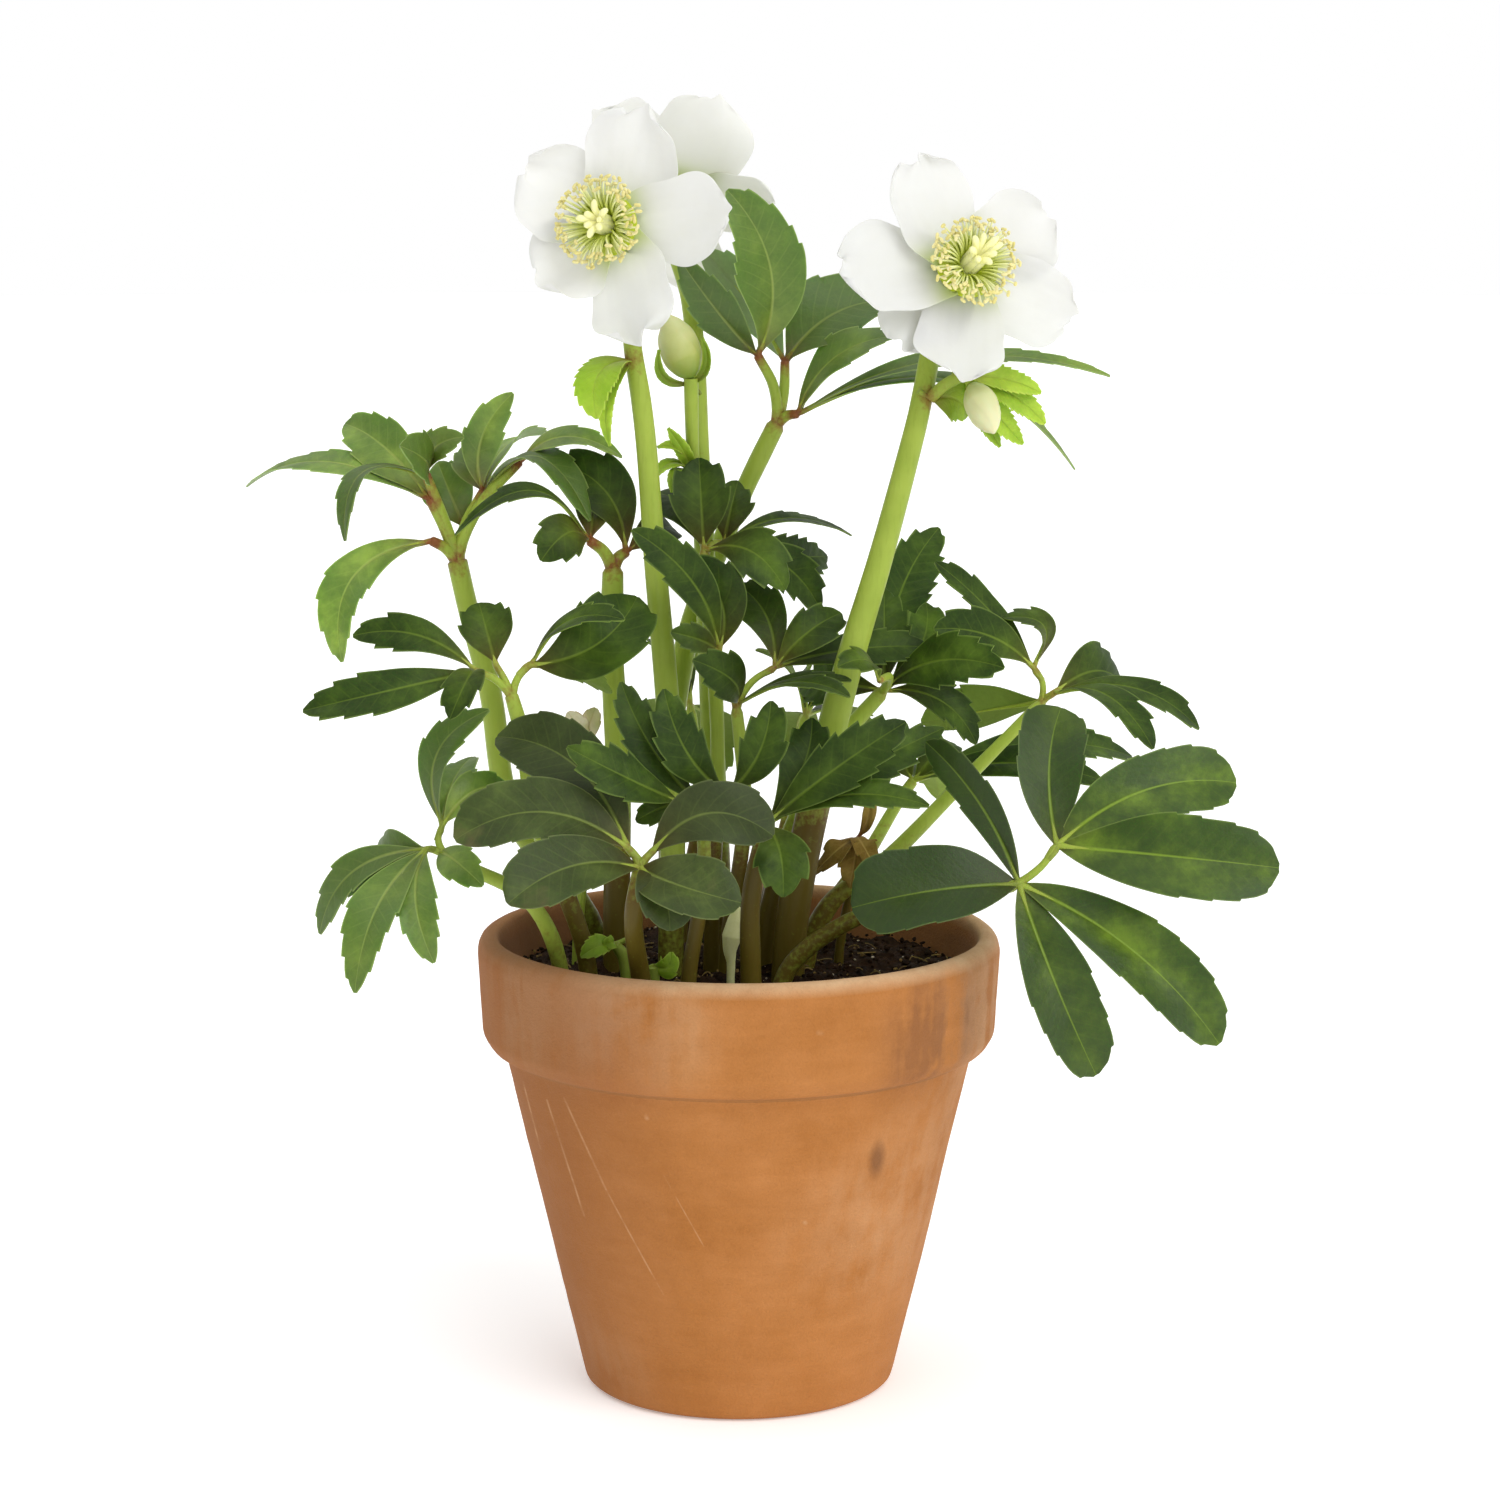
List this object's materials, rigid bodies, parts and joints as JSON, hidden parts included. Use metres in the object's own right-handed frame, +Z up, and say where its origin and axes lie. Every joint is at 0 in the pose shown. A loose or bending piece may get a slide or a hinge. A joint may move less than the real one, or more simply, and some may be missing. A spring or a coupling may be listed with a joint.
{
  "type": "potted hellebore",
  "caption": "Flowering hellebore with toothed, hand-shaped leaves and white open blooms on green stalks, growing in compost in a round clay flowerpot that stands on a flat foot.",
  "frame": {"origin": "centre of the flowerpot's foot, on the surface that it stands on", "axes": "+Z up along the pot's axis, +X to the right and +Y away as the plant is seen from the front"},
  "size_m": [0.332, 0.193, 0.4208],
  "materials": {
    "terracotta": "matte",
    "compost": "matte",
    "leaf_mature": "satin",
    "leaf_young": "satin",
    "sepal": "satin",
    "bloom_centre": "matte",
    "stalk": "satin",
    "bud": "satin",
    "dry_leaf": "matte"
  },
  "bodies": {
    "root": {"pot": "terracotta", "compost": "compost", "leaf_right_front": "leaf_mature", "leaf_right_top": "leaf_young", "leaf_right_back": "leaf_mature", "leaf_centre_right": "leaf_mature", "leaf_centre": "leaf_mature", "leaf_centre_back": "leaf_mature", "leaf_top": "leaf_young", "leaf_left_top": "leaf_young", "leaf_centre_left": "leaf_mature", "leaf_left": "leaf_mature", "leaf_left_low": "leaf_young", "leaf_front": "leaf_mature", "leaf_front_centre": "leaf_mature", "leaf_back_left": "leaf_mature", "leaf_back_right": "leaf_mature", "leaf_front_right": "leaf_mature", "sepals_left": "sepal", "sepals_back": "sepal", "sepals_right": "sepal", "centre_left": "bloom_centre", "centre_back": "bloom_centre", "centre_right": "bloom_centre", "stalk_left": "stalk", "stalk_back": "stalk", "stalk_right": "stalk", "bud_back": "bud", "bud_right": "bud", "dry_sheath": "dry_leaf", "old_bloom": "bud", "shoot_curled": "stalk", "shoot_stub": "stalk", "shoot_bulb": "stalk"}
  },
  "joints": []
}
